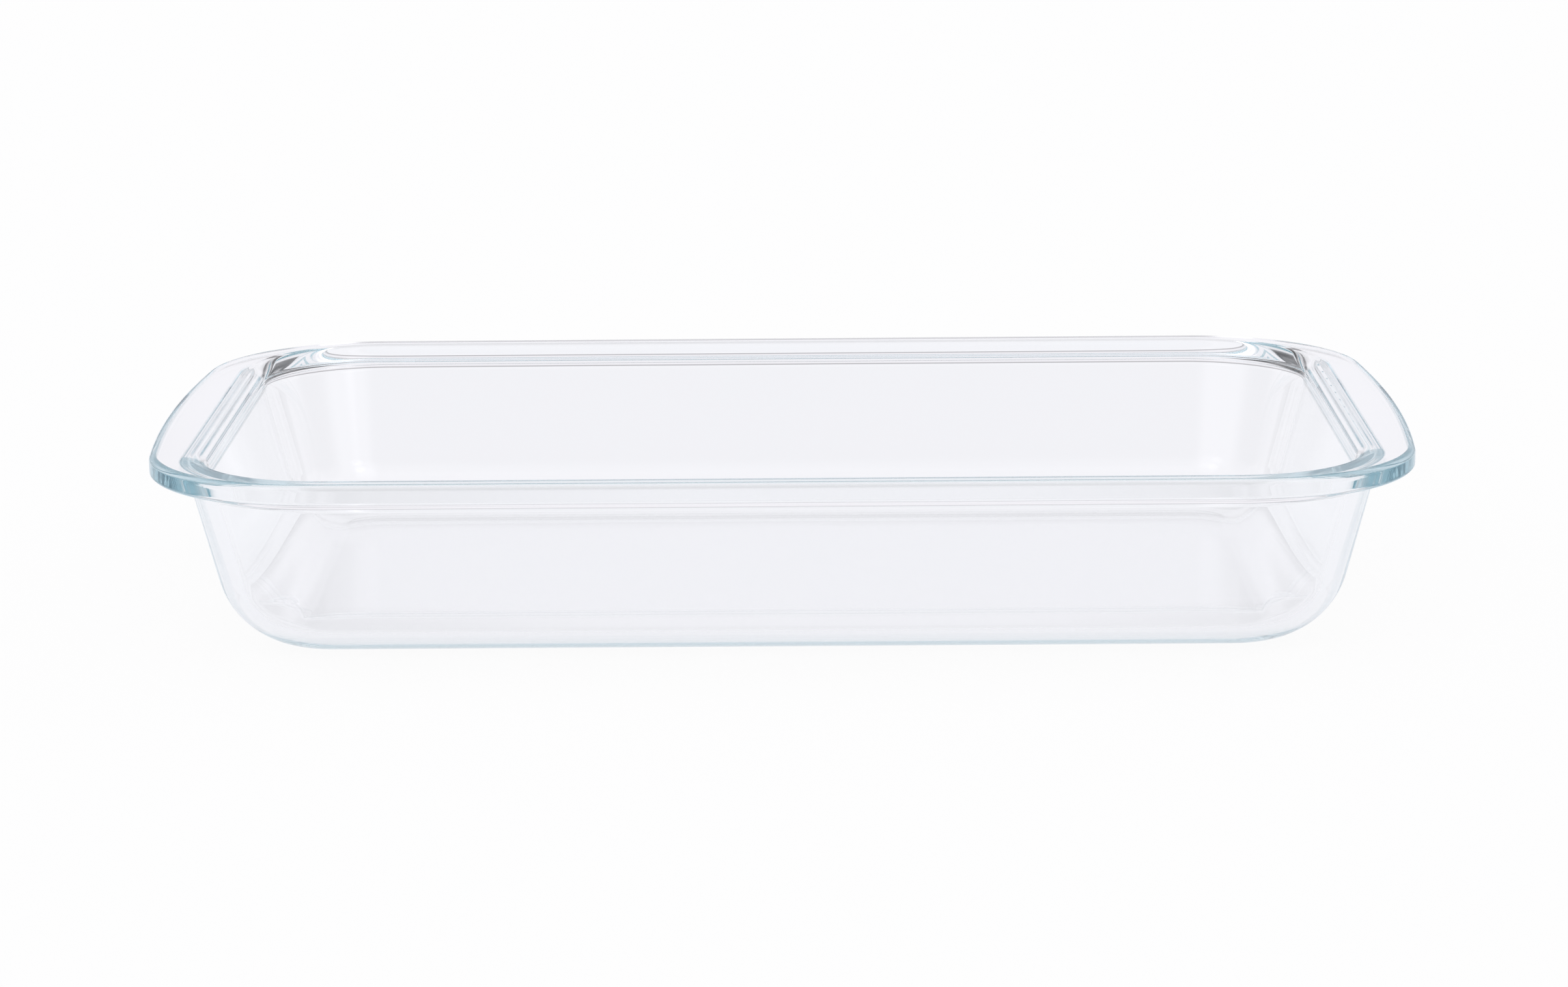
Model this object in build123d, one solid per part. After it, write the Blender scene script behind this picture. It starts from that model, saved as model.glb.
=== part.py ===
from build123d import *
import math
import os

# An oblong lasagna dish, pressed in one piece from clear oven glass.
# Lengths are in millimetres. X runs along the dish, from handle to handle, Y across it, Z up.
# The origin is the middle of the flat base that the dish stands on.

# Overall size, over the two handles, over the two long rims, and from the base to the rim.
overall_length = 380.0
overall_width = 230.0
overall_height = 57.0

# The rim plate: the flange that runs round the mouth and widens into a handle at each end.
# The overhangs are how far it stands out past the outside of the tub, at its underside.
rim_thickness = 6.6
rim_overhang = 5.4
handle_overhang = 14.94
rim_corner_radius = 53.0
handle_bow_radius = 738.0
top_edge_radius = 1.6
bottom_edge_radius = 1.8
under_rim_radius = 3.8

# The lip: a band of the rim's top that dips towards the mouth, all the way round it.
lip_width = 4.2
lip_slope_angle = 9.2
crest_radius = 3.8
mouth_roll_radius = 4.8

# The tub. Its corner radius is that of the outer wall at the underside of the rim.
tub_corner_radius = 42.8
draft_angle = 14.45
heel_radius = 26.0
inner_heel_radius = 17.3

# The glass itself.
wall_thickness = 6.5
floor_thickness = 5.8

# How far a cutting solid runs on past what it cuts.
overrun = 3.0


def grown(length, height):
    """Returns a full length across two drafted walls, this far above where it was measured."""
    return length + 2 * height * math.tan(math.radians(draft_angle))


def drafted_tub(length, width, corner_radius, height, edge_radius):
    """Returns a tub-shaped solid that widens upwards, with its bottom edge rounded off."""
    plan = RectangleRounded(length, width, corner_radius)
    tub = extrude(plan, amount=height, taper=-draft_angle)
    bottom_edges = tub.faces().sort_by(Axis.Z)[0].edges()
    return fillet(bottom_edges, edge_radius)


# %% The outside of the tub
# It is as long and wide as the rim leaves it. From there its walls lean in by the draft angle
# on their way down, and turn into the base over a large round heel.
rim_underside = overall_height - rim_thickness
tub_top = rim_underside + rim_thickness / 2
tub_foot_length = grown(overall_length - 2 * handle_overhang, -rim_underside)
tub_foot_width = grown(overall_width - 2 * rim_overhang, -rim_underside)
tub_foot_corner_radius = grown(2 * tub_corner_radius, -rim_underside) / 2
outer_tub = drafted_tub(
    tub_foot_length, tub_foot_width, tub_foot_corner_radius, tub_top, heel_radius
)

# %% The rim plate, with its handles
# Two large arcs meet as a lens. Cut to the width of the dish, it has straight long sides and
# bowed ends, and its four corners are rounded to run into both.
bow_shift = handle_bow_radius - overall_length / 2
bowed_ends = Pos(bow_shift, 0) * Circle(handle_bow_radius)
bowed_ends &= Pos(-bow_shift, 0) * Circle(handle_bow_radius)
rim_plan = bowed_ends & Rectangle(overall_length, overall_width)
rim_plan = fillet(rim_plan.vertices(), rim_corner_radius)
rim_plate = Pos(0, 0, rim_underside) * extrude(rim_plan, amount=rim_thickness)

# %% Tub and rim become one pressing
# A hollow blend carries the wall into the underside of the rim, as far as the rounding of the
# rim's lower edge leaves it room on the long sides.
body = outer_tub + rim_plate
blend_reach_share = math.tan(math.radians(90 - draft_angle) / 2)
blend_room = rim_overhang - bottom_edge_radius
blend_radius = min(under_rim_radius, blend_room / blend_reach_share * 0.95)
underside = body.faces().filter_by(Plane.XY).sort_by(Axis.Z)[1]
body = fillet(underside.inner_wires()[0].edges(), blend_radius)
underside = body.faces().filter_by(Plane.XY).sort_by(Axis.Z)[1]
body = fillet(underside.outer_wire().edges(), bottom_edge_radius)

# %% The cavity
# The inside follows the outside at the thickness of the wall. Its heel is tighter than the outer
# one, which leaves the glass a little thicker round the corner than on either side of it.
wall_run = wall_thickness / math.cos(math.radians(draft_angle))
cavity_length = grown(tub_foot_length, floor_thickness) - 2 * wall_run
cavity_width = grown(tub_foot_width, floor_thickness) - 2 * wall_run
cavity_corner_radius = grown(2 * tub_foot_corner_radius, floor_thickness) / 2 - wall_run
cavity_depth = overall_height - floor_thickness
cavity = drafted_tub(
    cavity_length,
    cavity_width,
    cavity_corner_radius,
    cavity_depth + overrun,
    inner_heel_radius,
)
body -= Pos(0, 0, floor_thickness) * cavity

# %% The lip
# A shallow tapered cut takes the top of the rim down towards the mouth. Its upper edge is the
# crest, which runs at the same distance from the mouth all round, straight across the handles.
lip_drop = lip_width * math.tan(math.radians(lip_slope_angle))
crest_plan = RectangleRounded(
    grown(cavity_length, cavity_depth) + 2 * lip_width,
    grown(cavity_width, cavity_depth) + 2 * lip_width,
    grown(2 * cavity_corner_radius, cavity_depth) / 2 + lip_width,
)
lip_cut = extrude(
    crest_plan, amount=lip_drop * 1.2, dir=(0, 0, -1), taper=90 - lip_slope_angle
)
body -= Pos(0, 0, overall_height) * lip_cut
flat_top = body.faces().filter_by(Plane.XY).sort_by(Axis.Z)[-1]
body = fillet(flat_top.inner_wires()[0].edges(), crest_radius)

# %% The mouth
# The lip rolls over into the drafted inner wall. The mouth's own edges are the level ones
# that lie lowest in the rim, below the crest and above the underside.
level_edges = body.edges().filter_by(
    lambda edge: edge.bounding_box().size.Z < crest_radius * 1e-4
    and overall_height - 2 * lip_drop < edge.center().Z < overall_height - lip_drop / 2
)
mouth_edges = level_edges.group_by(Axis.Z)[0]
body = fillet(mouth_edges, mouth_roll_radius)

# %% The rim's upper edge
# Rounded too, which leaves a narrow upright band between it and the lower edge.
flat_top = body.faces().filter_by(Plane.XY).sort_by(Axis.Z)[-1]
body = fillet(flat_top.outer_wire().edges(), top_edge_radius)

# %% Export
os.makedirs("parts", exist_ok=True)
dish = body.solid()
dish.label = "dish"
export_step(dish, "parts/dish.step")

capacity_litres = (Pos(0, 0, floor_thickness) * cavity & Box(
    overall_length, overall_width, overall_height, align=(Align.CENTER, Align.CENTER, Align.MIN)
)).volume * 1e-6
print("size", dish.bounding_box().size)
print("glass", round(dish.volume * 1e-3), "cm3, holds", round(capacity_litres, 2), "litres")
print("mouth edges", len(mouth_edges), "valid", dish.is_valid)
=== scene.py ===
# %% [markdown]
# # A clear glass lasagna dish
# The real dish is one pressing of clear oven glass: a shallow tub with leaning walls and a
# large round heel, and a flanged rim that widens into a bowed handle at each end. The packed
# CAD model is loaded first and stays the frame for everything. Its mesh is right in size but
# coarse, and glass shows every facet twice, once as light enters and once as it leaves. So this
# script draws the same shape again, much finer, and that piece stands for the CAD solid.

# %% Load the frame
import math

import bpy
from mathutils import Matrix, Vector


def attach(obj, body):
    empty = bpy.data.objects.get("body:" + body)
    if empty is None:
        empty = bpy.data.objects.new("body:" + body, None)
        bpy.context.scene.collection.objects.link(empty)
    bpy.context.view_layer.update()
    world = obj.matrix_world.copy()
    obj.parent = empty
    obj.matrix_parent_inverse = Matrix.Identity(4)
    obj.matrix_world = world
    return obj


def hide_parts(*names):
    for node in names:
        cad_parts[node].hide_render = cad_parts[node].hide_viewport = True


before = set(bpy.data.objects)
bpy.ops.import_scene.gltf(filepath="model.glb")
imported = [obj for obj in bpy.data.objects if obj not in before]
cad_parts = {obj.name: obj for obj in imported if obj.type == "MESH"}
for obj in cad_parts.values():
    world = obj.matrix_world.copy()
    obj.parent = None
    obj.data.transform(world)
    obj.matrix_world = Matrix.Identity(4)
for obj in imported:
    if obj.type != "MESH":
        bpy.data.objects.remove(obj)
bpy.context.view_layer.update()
scene = bpy.context.scene

# %% [markdown]
# ## Three small helpers
# Colours are written as sRGB hex, which is how a colour picker shows them, and Blender wants
# linear light, so one function turns the one into the other. One function adds a node with its
# settings and links. Lengths are written in millimetres and multiplied by `mm`.

# %% Helpers for colours and nodes
mm = 0.001


def linear(hex_colour):
    """Turns an sRGB hex colour into the linear colour that Blender works in."""
    parts = [int(hex_colour[i:i + 2], 16) / 255 for i in (1, 3, 5)]
    return [c / 12.92 if c <= 0.04045 else ((c + 0.055) / 1.055) ** 2.4 for c in parts] + [1]


def node(tree, kind, inputs=None, **settings):
    """Adds a node, sets its properties, links or fills its inputs, and returns its outputs."""
    new = tree.nodes.new(kind)
    for name, value in settings.items():
        setattr(new, name, value)
    for key, value in (inputs or {}).items():
        if isinstance(value, bpy.types.NodeSocket):
            tree.links.new(value, new.inputs[key])
        else:
            new.inputs[key].default_value = value
    return new.outputs


middle_grey = [round(c, 3) for c in linear("#808080")]
print("white is", linear("#FFFFFF"), "and middle grey is", middle_grey)

# %% [markdown]
# ## The sizes of the dish
# These are the sizes that the part was built from. A pressed dish follows one rule nearly
# everywhere: cut it across at any place, and the same section appears, standing at the same
# distance from a rectangle that hides inside the plan. Only the outer edge of the rim leaves
# that rule, because it bows out into the handles.

# %% Sizes
overall_length, overall_width, overall_height = 380 * mm, 230 * mm, 57 * mm
rim_thickness, rim_overhang, handle_overhang = 6.6 * mm, 5.4 * mm, 14.94 * mm
rim_corner_radius, handle_bow_radius = 53 * mm, 738 * mm
top_edge_radius, bottom_edge_radius, under_rim_radius = 1.6 * mm, 1.8 * mm, 3.8 * mm
lip_width, crest_radius, mouth_roll_radius = 4.2 * mm, 3.8 * mm, 4.8 * mm
tub_corner_radius, heel_radius, inner_heel_radius = 42.8 * mm, 26 * mm, 17.3 * mm
wall_thickness, floor_thickness = 6.5 * mm, 5.8 * mm
draft_angle, lip_slope_angle = 14.45, 9.2
lean = math.tan(math.radians(draft_angle))
lip_fall = math.tan(math.radians(lip_slope_angle))
rim_underside = overall_height - rim_thickness

half_core_length = overall_length / 2 - handle_overhang - tub_corner_radius
half_core_width = overall_width / 2 - rim_overhang - tub_corner_radius
print("the hidden rectangle is", round(2 * half_core_length / mm, 1), "by",
      round(2 * half_core_width / mm, 1), "mm")

# %% [markdown]
# ## The plan
# The section is going to be carried round the dish clockwise, from station to station. Each
# station has a point on the hidden rectangle and the direction that it faces. From there a
# straight look outwards finds the point of the rim's own outline, which is made of a straight
# long side, a corner arc and the shallow bow of a handle. The stations could be evenly spaced,
# but the corners bend light the most, so they get half of the stations, and the bowed ends most
# of the rest.

# %% The rim's outline, seen from the hidden rectangle
bow_centre = overall_length / 2 - handle_bow_radius
corner_y = overall_width / 2 - rim_corner_radius
corner_x = bow_centre + math.sqrt((handle_bow_radius - rim_corner_radius) ** 2 - corner_y ** 2)
bow_end_y = corner_y * handle_bow_radius / (handle_bow_radius - rim_corner_radius)


def ray_to_circle(start, out, centre, radius):
    """Returns where a ray from inside a circle leaves it, and the circle's normal there."""
    towards = start - centre
    along = towards.dot(out)
    reach = -along + math.sqrt(along ** 2 - towards.length_squared + radius ** 2)
    hit = start + out * reach
    return hit, (hit - centre) / radius


def rim_from(start, out):
    """Returns the outline's point and normal, in the quarter where X and Y are positive."""
    if out.y > 0:
        hit = start + out * ((overall_width / 2 - start.y) / out.y)
        if hit.x <= corner_x:
            return hit, Vector((0, 1))
    hit, facing = ray_to_circle(start, out, Vector((bow_centre, 0)), handle_bow_radius)
    if hit.y <= bow_end_y:
        return hit, facing
    return ray_to_circle(start, out, Vector((corner_x, corner_y)), rim_corner_radius)


print("a long side is straight for", round(2 * corner_x / mm, 1), "mm, and a handle's bow spans",
      round(2 * bow_end_y / mm, 1), "mm")

# %% The stations, clockwise from the corner between the +X handle and the front
end_steps, corner_steps, side_steps = 150, 90, 40
core_corner = Vector((half_core_length, half_core_width))
quarter = []
for i in range(corner_steps + 1):
    turn = math.radians(90 * i / corner_steps)
    quarter.append((core_corner, Vector((math.cos(turn), math.sin(turn)))))
end = [(Vector((half_core_length, half_core_width * (2 * i / end_steps - 1))), Vector((1, 0)))
       for i in range(1, end_steps)]
side = [(Vector((half_core_length * (1 - 2 * i / side_steps), half_core_width)), Vector((0, 1)))
        for i in range(1, side_steps)]


def turned(stations, sx, sy):
    """Mirrors stations into another quarter of the plan."""
    return [(Vector((p.x * sx, p.y * sy)), Vector((o.x * sx, o.y * sy))) for p, o in stations]


anticlockwise = end + quarter + side + turned(quarter, -1, 1)[::-1]
anticlockwise += turned(end, -1, 1)[::-1] + turned(quarter, -1, -1) + turned(side, 1, -1)[::-1]
anticlockwise += turned(quarter, 1, -1)[::-1]
stations = anticlockwise[::-1]


def rim_all_round(start, out):
    """The same as rim_from, for any quarter."""
    sx, sy = (1 if way >= 0 else -1 for way in (out.x or start.x, out.y or start.y))
    hit, facing = rim_from(Vector((start.x * sx, start.y * sy)), Vector((out.x * sx, out.y * sy)))
    return Vector((hit.x * sx, hit.y * sy)), Vector((facing.x * sx, facing.y * sy))


rims = [rim_all_round(*station) for station in stations]
print(len(stations), "stations; the outline reaches", round(max(p.x for p, _ in rims) / mm, 2),
      "by", round(max(p.y for p, _ in rims) / mm, 2), "mm from the middle")

# %% [markdown]
# Where the rim is wide, the pressing leaves its edge rounded off more gently: at the middle of a
# handle the rounding is about twice as wide as it is high, and on the long sides it is even.
# That takes less than half a millimetre more off the solid's edge.

# %% How much wider than high the edge's rounding is, at each station
side_reach = overall_width / 2 - half_core_width
handle_reach = overall_length / 2 - half_core_length
handle_edge_stretch = 2.0
reaches = [(p - start).length for (p, _), (start, _) in zip(rims, stations)]
handle_shares = [max(0, (reach - side_reach) / (handle_reach - side_reach)) for reach in reaches]
stretches = [1 + (handle_edge_stretch - 1) * share for share in handle_shares]
print("the rounding is stretched by", round(min(stretches), 2), "to", round(max(stretches), 2))

# %% The plan as a ring of points that carries what each station knows
plan_mesh = bpy.data.meshes.new("dish_plan")
plan_mesh.from_pydata([(p.x, p.y, 0) for p, _ in stations],
                      [(i, (i + 1) % len(stations)) for i in range(len(stations))], [])
for name, vectors in {
    "core_out": [o for _, o in stations],
    "edge_stretch": [Vector((stretch, 0)) for stretch in stretches],
    "rim": [p for p, _ in rims],
    "rim_out": [o for _, o in rims],
}.items():
    attribute = plan_mesh.attributes.new(name, "FLOAT_VECTOR", "POINT")
    attribute.data.foreach_set("vector", [c for v in vectors for c in (v.x, v.y, 0)])
dish = bpy.data.objects.new("pressed_glass", plan_mesh)
scene.collection.objects.link(dish)
print("a ring of", len(plan_mesh.vertices), "points")

# %% [markdown]
# ## The section
# The section is drawn across a long side as a few straight runs: out over the floor, up the
# inner wall, over the lip, down the rim's edge, in under the rim, down the outer wall and back
# under the base. Every corner then gets its own radius, as the mould has, from the Fillet Curve
# node. A radius for each corner travels with the curve as an attribute.

# %% The corners of the section, as distance from the middle, height and radius
wall_run = wall_thickness / math.cos(math.atan(lean))
outer_foot = overall_width / 2 - rim_overhang - rim_underside * lean
inner_foot = outer_foot + floor_thickness * lean - wall_run
mouth_at_top = inner_foot + (overall_height - floor_thickness) * lean
crest = mouth_at_top + lip_width
lip_depth = (crest - mouth_at_top) * lip_fall / (1 - lean * lip_fall)
section = [
    (0, floor_thickness, 0),
    (inner_foot, floor_thickness, inner_heel_radius),
    (mouth_at_top - lip_depth * lean, overall_height - lip_depth, mouth_roll_radius),
    (crest, overall_height, crest_radius),
    (overall_width / 2, overall_height, top_edge_radius),
    (overall_width / 2, rim_underside, bottom_edge_radius),
    (overall_width / 2 - rim_overhang, rim_underside, under_rim_radius),
    (outer_foot, 0, heel_radius),
    (0, 0, 0),
]
section_curve = bpy.data.curves.new("dish_section", "CURVE")
section_curve.dimensions = "3D"
run = section_curve.splines.new("POLY")
run.points.add(len(section) - 1)
for point, (across, height, radius) in zip(run.points, section):
    point.co = (across, height, 0, 1)
    point.radius = radius
section_object = bpy.data.objects.new("dish_section", section_curve)
scene.collection.objects.link(section_object)
print("corners in mm:", [tuple(round(v / mm, 2) for v in corner) for corner in section])

# %% [markdown]
# ## Geometry Nodes carry the section round the plan
# A grid has one column for each station, one more to close the ring, and one row for each point
# of the section. The tree moves every grid point to its place by the rule above, and keeps the
# exact direction that the surface faces there, because smooth glass needs better normals than
# facets can give. The last column lies on the first and the end rows shrink to a point, so
# merging closes the solid.

# %% Start the tree, round the section's corners and lay out the grid
tree = bpy.data.node_groups.new("carry_section_round_plan", "GeometryNodeTree")
wanted = [
    ("Plan", "Geometry"), ("Section", "Object"), ("Steps in an arc", "Int"),
    ("Core half width", "Float"), ("Rim edge", "Float"), ("Rim edge begins", "Float"),
    ("Glass", "Material"),
]
sockets = {name: tree.interface.new_socket(name, in_out="INPUT", socket_type="NodeSocket" + kind)
           for name, kind in wanted}
tree.interface.new_socket("Dish", in_out="OUTPUT", socket_type="NodeSocketGeometry")
given = node(tree, "NodeGroupInput")

drawn = node(tree, "GeometryNodeObjectInfo", {"Object": given["Section"]})["Geometry"]
corner_radius = node(tree, "GeometryNodeInputRadius")[0]
rounded = node(tree, "GeometryNodeFilletCurve", {
    "Curve": drawn, "Count": given["Steps in an arc"], "Radius": corner_radius,
    "Limit Radius": False,
}, mode="POLY")[0]
rows = node(tree, "GeometryNodeAttributeDomainSize", {0: rounded},
            component="CURVE")["Point Count"]
columns = node(tree, "GeometryNodeAttributeDomainSize", {0: given["Plan"]})["Point Count"]
columns_and_one = node(tree, "FunctionNodeIntegerMath", {0: columns, 1: 1}, operation="ADD")[0]
grid = node(tree, "GeometryNodeMeshGrid",
            {"Vertices X": columns_and_one, "Vertices Y": rows})["Mesh"]
print(len(sockets), "inputs, and", len(tree.nodes), "nodes up to the grid")

# %% Which station and which section point a grid point belongs to
index = node(tree, "GeometryNodeInputIndex")[0]
column = node(tree, "FunctionNodeIntegerMath", {0: index, 1: rows}, operation="DIVIDE_FLOOR")[0]
station = node(tree, "FunctionNodeIntegerMath", {0: column, 1: columns}, operation="MODULO")[0]
row = node(tree, "FunctionNodeIntegerMath", {0: index, 1: rows}, operation="MODULO")[0]
row_after = node(tree, "FunctionNodeIntegerMath", {0: row, 1: 1}, operation="ADD")[0]
row_before = node(tree, "FunctionNodeIntegerMath", {0: row, 1: 1}, operation="SUBTRACT")[0]
position = node(tree, "GeometryNodeInputPosition")[0]


def from_plan(value):
    """Reads a vector that this grid point's station carries."""
    return node(tree, "GeometryNodeSampleIndex", {0: given["Plan"], 1: value, 2: station},
                data_type="FLOAT_VECTOR", domain="POINT")[0]


def from_section(at_row):
    """Reads how far from the middle, and how high, a point of the section is."""
    found = node(tree, "GeometryNodeSampleIndex", {0: rounded, 1: position, 2: at_row},
                 data_type="FLOAT_VECTOR", domain="POINT", clamp=True)[0]
    return node(tree, "ShaderNodeSeparateXYZ", {0: found})


core = from_plan(position)
core_out, rim, rim_out, edge_stretch = [
    from_plan(node(tree, "GeometryNodeInputNamedAttribute", {"Name": name},
                   data_type="FLOAT_VECTOR")[0])
    for name in ("core_out", "rim", "rim_out", "edge_stretch")]
stretch = node(tree, "ShaderNodeSeparateXYZ", {0: edge_stretch})[0]
across, height, _ = from_section(row)
print(len(tree.nodes), "nodes once every grid point knows its station and its row")

# %% The rule for the tub and the lip: the hidden rectangle, shrunk inside itself or grown outside
core_half_width = given["Core half width"]
shrink = node(tree, "ShaderNodeMath", {0: across, 1: core_half_width}, operation="DIVIDE",
              use_clamp=True)[0]
past = node(tree, "ShaderNodeMath", {0: across, 1: core_half_width}, operation="SUBTRACT")[0]
grow = node(tree, "ShaderNodeMath", {0: past, 1: 0.0}, operation="MAXIMUM")[0]
shrunk = node(tree, "ShaderNodeVectorMath", {0: core, "Scale": shrink}, operation="SCALE")[0]
grown = node(tree, "ShaderNodeVectorMath", {0: core_out, "Scale": grow}, operation="SCALE")[0]
by_core = node(tree, "ShaderNodeVectorMath", {0: shrunk, 1: grown}, operation="ADD")[0]
print(len(tree.nodes), "nodes with the rule for the tub and the lip")

# %% The rule for the rim's edge: the outline, set in as far as the section's edge is rounded
even_inset = node(tree, "ShaderNodeMath", {0: given["Rim edge"], 1: across},
                  operation="SUBTRACT")[0]
inset = node(tree, "ShaderNodeMath", {0: even_inset, 1: stretch}, operation="MULTIPLY")[0]
set_in = node(tree, "ShaderNodeVectorMath", {0: rim_out, "Scale": inset}, operation="SCALE")[0]
by_rim = node(tree, "ShaderNodeVectorMath", {0: rim, 1: set_in}, operation="SUBTRACT")[0]
on_edge = node(tree, "FunctionNodeCompare", {0: across, 1: given["Rim edge begins"]},
               operation="GREATER_THAN")[0]
flat_place = node(tree, "GeometryNodeSwitch", {"Switch": on_edge, "False": by_core, "True": by_rim},
                  input_type="VECTOR")[0]
outwards = node(tree, "GeometryNodeSwitch", {"Switch": on_edge, "False": core_out, "True": rim_out},
                input_type="VECTOR")[0]
lift = node(tree, "ShaderNodeCombineXYZ", {"Z": height})[0]
place = node(tree, "ShaderNodeVectorMath", {0: flat_place, 1: lift}, operation="ADD")[0]
print(len(tree.nodes), "nodes with the rule for the rim's edge")

# %% The way the surface faces: square to the line from the section's last point to its next
across_after, height_after, _ = from_section(row_after)
across_before, height_before, _ = from_section(row_before)
sideways = node(tree, "ShaderNodeMath", {0: height_before, 1: height_after},
                operation="SUBTRACT")[0]
even_upwards = node(tree, "ShaderNodeMath", {0: across_after, 1: across_before},
                    operation="SUBTRACT")[0]
stretched_upwards = node(tree, "ShaderNodeMath", {0: even_upwards, 1: stretch},
                         operation="MULTIPLY")[0]
upwards = node(tree, "GeometryNodeSwitch", {
    "Switch": on_edge, "False": even_upwards, "True": stretched_upwards,
}, input_type="FLOAT")[0]
side_part = node(tree, "ShaderNodeVectorMath", {0: outwards, "Scale": sideways},
                 operation="SCALE")[0]
up_part = node(tree, "ShaderNodeCombineXYZ", {"Z": upwards})[0]
facing = node(tree, "ShaderNodeVectorMath", {0: side_part, 1: up_part}, operation="ADD")[0]
facing = node(tree, "ShaderNodeVectorMath", {0: facing}, operation="NORMALIZE")[0]
print(len(tree.nodes), "nodes with the way the surface faces")

# %% Place, keep the facing, close, and finish the tree
weld_distance = 0.002 * mm
placed = node(tree, "GeometryNodeSetPosition", {"Geometry": grid, "Position": place})[0]
marked = node(tree, "GeometryNodeStoreNamedAttribute", {
    "Geometry": placed, "Name": "facing", "Value": facing,
}, data_type="FLOAT_VECTOR", domain="POINT")[0]
closed = node(tree, "GeometryNodeMergeByDistance",
              {"Geometry": marked, "Distance": weld_distance})[0]
real = node(tree, "GeometryNodeRealizeInstances", {"Geometry": closed})[0]
finished = node(tree, "GeometryNodeSetMaterial", {"Geometry": real, "Material": given["Glass"]})[0]
node(tree, "NodeGroupOutput", {"Dish": finished})
print(len(tree.nodes), "nodes in the whole tree")

# %% [markdown]
# ## The glass
# Oven glass is tempered soda-lime glass, pressed hot into a polished mould and then fire
# polished. Through a wall it looks colourless, but it holds a little iron, and where the eye
# looks along the rim, through 15 cm of it, it turns blue-green. Tinting the surface would tint
# the thin walls as much as the rim, so the colour is in the volume: Volume Absorption takes
# light away by the metre. Pressing also leaves the surface very slightly wavy, which bends
# the straight lines in it by a hair.

# %% Fire-polished glass
refractive_index = 1.5
# The waves of the pressing are a few micrometres high, drawn a little deeper so that they show.
wave_length, wave_height = 30 * mm, 0.02 * mm
# How fast red, green and blue are lost on their way, per metre. Over the density, that is what
# the absorption colour leaves out.
lost_per_metre, density = (1.8, 1.0, 0.8), 5.0

glass = bpy.data.materials.new("pressed_soda_lime_glass")
glass.use_nodes = True
shader_tree = glass.node_tree
shader_tree.nodes.clear()
object_place = node(shader_tree, "ShaderNodeTexCoord")["Object"]
waves = node(shader_tree, "ShaderNodeTexNoise",
             {"Vector": object_place, "Scale": 1 / wave_length, "Detail": 1.0})[0]
wavy = node(shader_tree, "ShaderNodeBump",
            {"Strength": 1.0, "Distance": wave_height, "Height": waves})[0]
surface = node(shader_tree, "ShaderNodeBsdfPrincipled", {
    "Base Color": linear("#FFFFFF"), "Roughness": 0.0, "IOR": refractive_index,
    "Transmission Weight": 1.0, "Normal": wavy,
})[0]
tint = node(shader_tree, "ShaderNodeVolumeAbsorption", {
    "Color": [1 - lost / density for lost in lost_per_metre] + [1], "Density": density,
})[0]
node(shader_tree, "ShaderNodeOutputMaterial", {"Surface": surface, "Volume": tint})
long_way = 150 * mm
print(round(long_way / mm), "mm of it let through",
      [round(math.exp(-long_way * lost), 2) for lost in lost_per_metre])

# %% Carry the section round, and keep the result as a plain mesh
steps_in_an_arc = 16
edge_margin = 0.1 * mm
carry = dish.modifiers.new("carry_section", "NODES")
carry.node_group = tree
for name, value in {
    "Section": section_object,
    "Steps in an arc": steps_in_an_arc,
    "Core half width": half_core_width,
    "Rim edge": overall_width / 2,
    "Rim edge begins": overall_width / 2 - max(top_edge_radius, bottom_edge_radius) - edge_margin,
    "Glass": glass,
}.items():
    carry[sockets[name].identifier] = value
bpy.context.view_layer.update()
evaluated = dish.evaluated_get(bpy.context.evaluated_depsgraph_get())
made = bpy.data.meshes.new_from_object(evaluated)
# A grid node starts with an empty material slot, which no face uses once the glass is set.
made.materials.pop(index=0)
dish.modifiers.clear()
dish.data = made
made.name = "pressed_glass"
bpy.data.meshes.remove(plan_mesh)
bpy.data.objects.remove(section_object)
facings = [Vector(item.vector) for item in made.attributes["facing"].data]
made.attributes.remove(made.attributes["facing"])
made.shade_smooth()
made.normals_split_custom_set_from_vertices(facings)
print("a plain mesh of", len(made.polygons), "faces, all in", made.materials[0].name)

# %% Measure it
made.calc_loop_triangles()
corners = [v.co for v in made.vertices]
triangles = [tuple(triangle.vertices) for triangle in made.loop_triangles]
volume = sum(corners[a].dot(corners[b].cross(corners[c])) for a, b, c in triangles) / 6
uses = {}
for face in made.polygons:
    for key in face.edge_keys:
        uses[key] = uses.get(key, 0) + 1
open_edges = sum(1 for count in uses.values() if count != 2)
cubic_cm = (10 * mm) ** 3
print(len(corners), "points,", len(triangles), "triangles,", round(volume / cubic_cm, 1),
      "cm3 of glass,", open_edges, "open edges")

# %% It rides on the frame and stands for the CAD solid
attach(dish, "root")
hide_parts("dish")
print(dish.name, "rides on the frame")

# %% [markdown]
# ## The table
# The photograph is a bright-field picture of glass, on a white table that fills the whole frame.
# The camera sees the paper as nearly pure white with a faint shadow, so most of what it sees
# there glows, and the rest catches the shadow. Seen through the glass the paper is a shade darker
# and cooler, because there it lies in the dish's own shade.

# %% The floor
half_floor, gap = 4.0, 0.2 * mm
floor_corners = [(x * half_floor, y * half_floor, -gap)
                 for x, y in ((-1, -1), (1, -1), (1, 1), (-1, 1))]
floor_mesh = bpy.data.meshes.new("table")
floor_mesh.from_pydata(floor_corners, [], [(0, 1, 2, 3)])
floor = bpy.data.objects.new("table", floor_mesh)
scene.collection.objects.link(floor)
print("a table", 2 * half_floor, "m wide,", round(gap / mm, 1), "mm under the dish")

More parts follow.
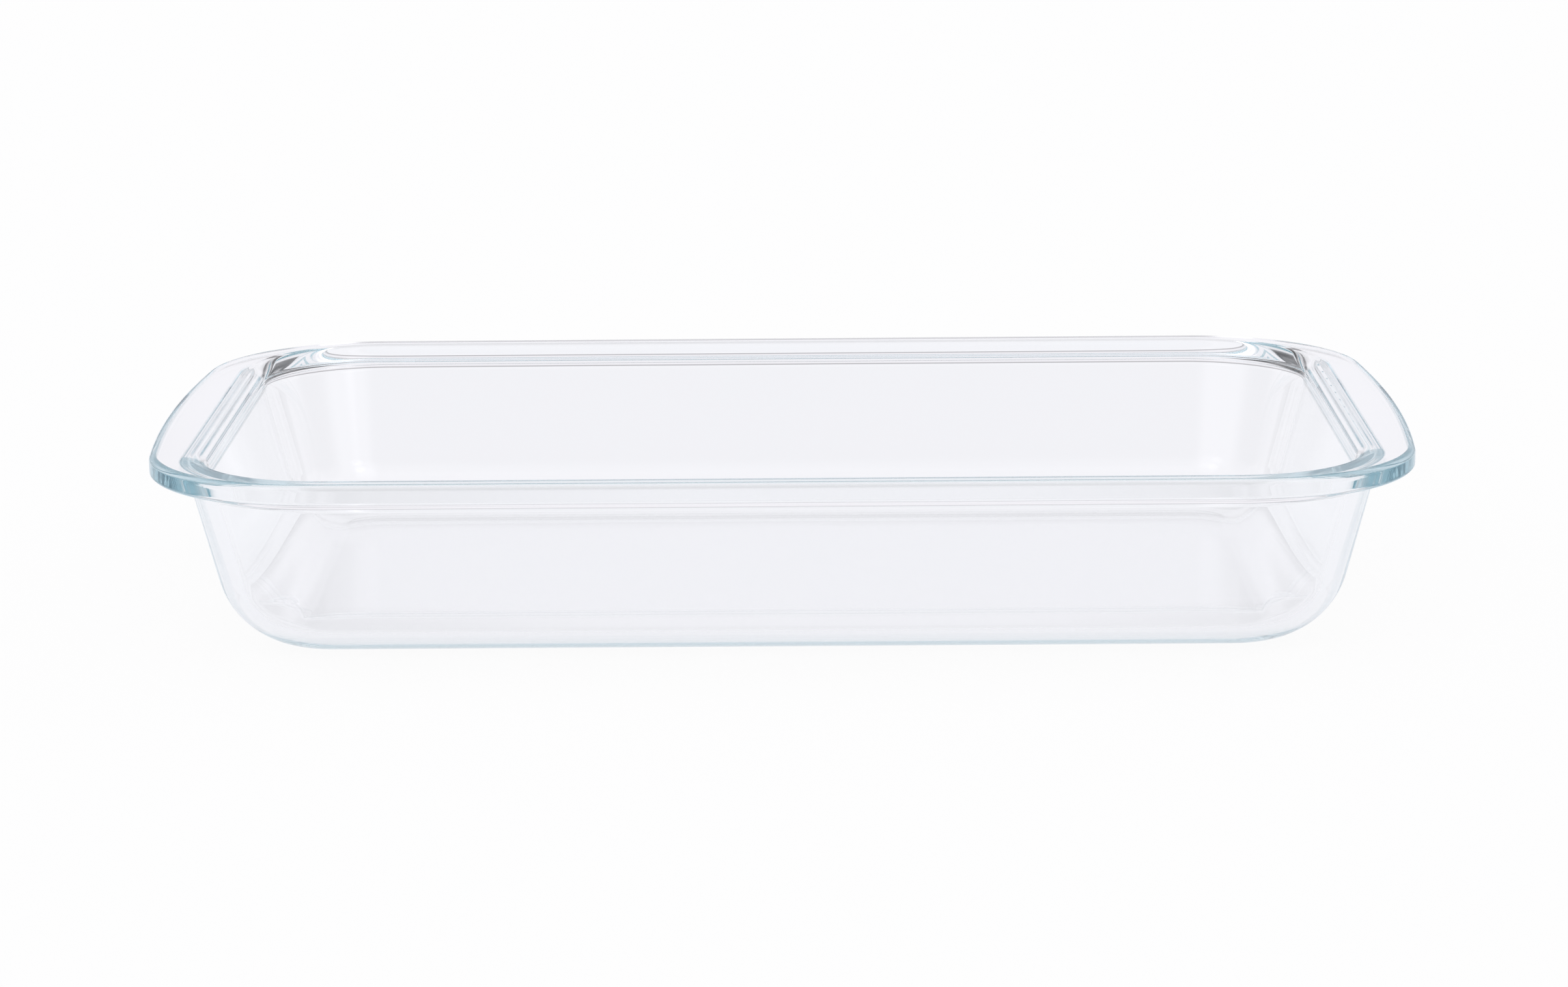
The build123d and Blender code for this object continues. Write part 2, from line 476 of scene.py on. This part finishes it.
# %% White paper
glow_for_camera, glow_through_glass = 0.93, 0.85
paper = bpy.data.materials.new("white_paper")
paper.use_nodes = True
paper_tree = paper.node_tree
paper_tree.nodes.clear()
seen_by = node(paper_tree, "ShaderNodeLightPath")
through_glass = node(paper_tree, "ShaderNodeMath", {
    0: seen_by["Is Glossy Ray"], 1: seen_by["Is Transmission Ray"],
}, operation="MAXIMUM")[0]
by_camera = node(paper_tree, "ShaderNodeMath", {0: seen_by["Is Camera Ray"], 1: glow_for_camera},
                 operation="MULTIPLY")[0]
by_glass = node(paper_tree, "ShaderNodeMath", {0: through_glass, 1: glow_through_glass},
                operation="MULTIPLY")[0]
glowing = node(paper_tree, "ShaderNodeMath", {0: by_camera, 1: by_glass}, operation="MAXIMUM")[0]
# Inputs 6 and 7 of the mix are its two colours, and output 2 is the colour between them.
shade = node(paper_tree, "ShaderNodeMix", {
    "Factor": through_glass, 6: linear("#FFFFFF"), 7: linear("#FAFAFE"),
}, data_type="RGBA")[2]
sheet = node(paper_tree, "ShaderNodeBsdfDiffuse", {"Color": linear("#FFFFFF")})[0]
lit = node(paper_tree, "ShaderNodeEmission", {"Color": shade, "Strength": 1.0})[0]
both = node(paper_tree, "ShaderNodeMixShader", {0: glowing, 1: sheet, 2: lit})[0]
node(paper_tree, "ShaderNodeOutputMaterial", {"Surface": both})
floor.data.materials.append(paper)
print("paper that glows by", glow_for_camera, "for the camera and by", glow_through_glass,
      "through the glass")

# %% [markdown]
# ## The light
# White light comes from all round, as in a light tent. A tent has darker places, though, and
# glass shows them: the opening that the camera looks through, the gap between the sheet behind
# and the roof, and dark cards that stand left and right to draw the edges. Two soft boxes at
# the front are brighter than the rest, and make the glints on the inner walls. Each of these is
# a soft round patch of the world, which is enough here, because curved glass draws whatever
# stands there out into lines.

# %% The patches of the tent
# For each: the way to it, round from +X and up, then the half angles within which it is full and
# beyond which it has faded away, all in degrees, and its brightness beside the tent's white.
patches = {
    "opening behind the camera": (270, 17, 6, 23, 0.45),
    "gap above the sheet behind": (96, 38, 8, 16, 0.2),
    "left end of the gap": (121, 38, 6, 18, 0.1),
    "right end of the gap": (74, 37, 5, 16, 0.25),
    "left of the sheet behind": (106, 21, 5, 13, 0.65),
    "right of the sheet behind": (74, 21, 5, 13, 0.65),
    "dark card on the left": (188, 11, 8, 24, 0.3),
    "dark card on the right": (350, 10, 8, 24, 0.3),
    "low card behind, on the left": (130, 3, 5, 16, 0.42),
    "low card behind, on the right": (51, 3, 5, 17, 0.42),
    "left soft box": (236, 36, 6, 17, 1.6),
    "right soft box": (299, 38, 7, 18, 1.6),
    "lamp in the left soft box": (230, 31, 3, 8, 1.4),
    "lamp in the right soft box": (306, 24, 3, 9, 2.0),
}
tent_brightness = 0.95
seam_height, seam_brightness = 0.12, 0.5
print(len(patches), "patches")

# %% The light tent
world = bpy.data.worlds.new("light_tent")
scene.world = world
world.use_nodes = True
sky = world.node_tree
sky.nodes.clear()
looking = node(sky, "ShaderNodeTexCoord")["Generated"]
brightness = tent_brightness
for name, (around, up, full, faded, share) in patches.items():
    a, e = math.radians(around), math.radians(up)
    towards = (math.cos(a) * math.cos(e), math.sin(a) * math.cos(e), math.sin(e))
    nearness = node(sky, "ShaderNodeVectorMath", {0: looking, 1: towards},
                    operation="DOT_PRODUCT", label="nearness to: " + name)["Value"]
    patch = node(sky, "ShaderNodeMapRange", {
        "Value": nearness, "From Min": math.cos(math.radians(faded)),
        "From Max": math.cos(math.radians(full)), "To Min": 1.0, "To Max": share,
    }, interpolation_type="SMOOTHSTEP", label=name)[0]
    brightness = node(sky, "ShaderNodeMath", {0: patch, 1: brightness}, operation="MULTIPLY")[0]
# The table ends where the tent begins, and the seam all round is darker too.
height_of_look = node(sky, "ShaderNodeSeparateXYZ", {0: looking})["Z"]
seam = node(sky, "ShaderNodeMapRange", {
    "Value": height_of_look, "From Min": 0.0, "From Max": seam_height,
    "To Min": seam_brightness, "To Max": 1.0,
}, interpolation_type="SMOOTHSTEP")[0]
brightness = node(sky, "ShaderNodeMath", {0: seam, 1: brightness}, operation="MULTIPLY")[0]
glow = node(sky, "ShaderNodeBackground", {"Color": linear("#FCFAFF"), "Strength": brightness})[0]
node(sky, "ShaderNodeOutputWorld", {"Surface": glow})
print(len(sky.nodes), "nodes in the tent")

# %% [markdown]
# ## The camera
# The dish in the photograph was measured with the camera as the unknown: its straight sides,
# its corners and its base fix where the camera stood. It looks down by 12.4 degrees from about
# 1.35 m away, and is turned and tilted by less than half a degree.

# %% Camera
picture_width, focal_pixels = 2408, 6643.3
distance, above, aside = 1354.4 * mm, 27.952 * mm, 0.098 * mm
down, turn, roll = (math.radians(a) for a in (12.397, -0.432, -0.496))
stand = Vector((aside, -distance * math.cos(down) + above * math.sin(down),
                distance * math.sin(down) + above * math.cos(down)))
looks = Matrix(((1, 0, 0), (0, math.sin(down), -math.cos(down)),
                (0, math.cos(down), math.sin(down)))).to_4x4()
camera = bpy.data.cameras.new("camera")
camera.sensor_width = 36
camera.lens = focal_pixels / picture_width * camera.sensor_width
camera_object = bpy.data.objects.new("camera", camera)
camera_object.matrix_world = (Matrix.Rotation(-turn, 4, "Z") @ Matrix.Translation(stand) @ looks
                              @ Matrix.Rotation(roll, 4, "Z"))
scene.collection.objects.link(camera_object)
scene.camera = camera_object
print("camera at", [round(c, 3) for c in camera_object.matrix_world.translation],
      "with a lens of", round(camera.lens, 1), "mm")

# %% [markdown]
# ## Light that stays in the glass
# Light that enters the rim's edge can bounce dozens of times inside before it gets out. Cycles
# stops following it early by default and paints it black, so the limits go up.

# %% Colour and bounces
scene.view_settings.view_transform = "Standard"
scene.cycles.max_bounces = 200
scene.cycles.transmission_bounces = 200
scene.cycles.glossy_bounces = 128
print("light is followed for", scene.cycles.max_bounces, "bounces")
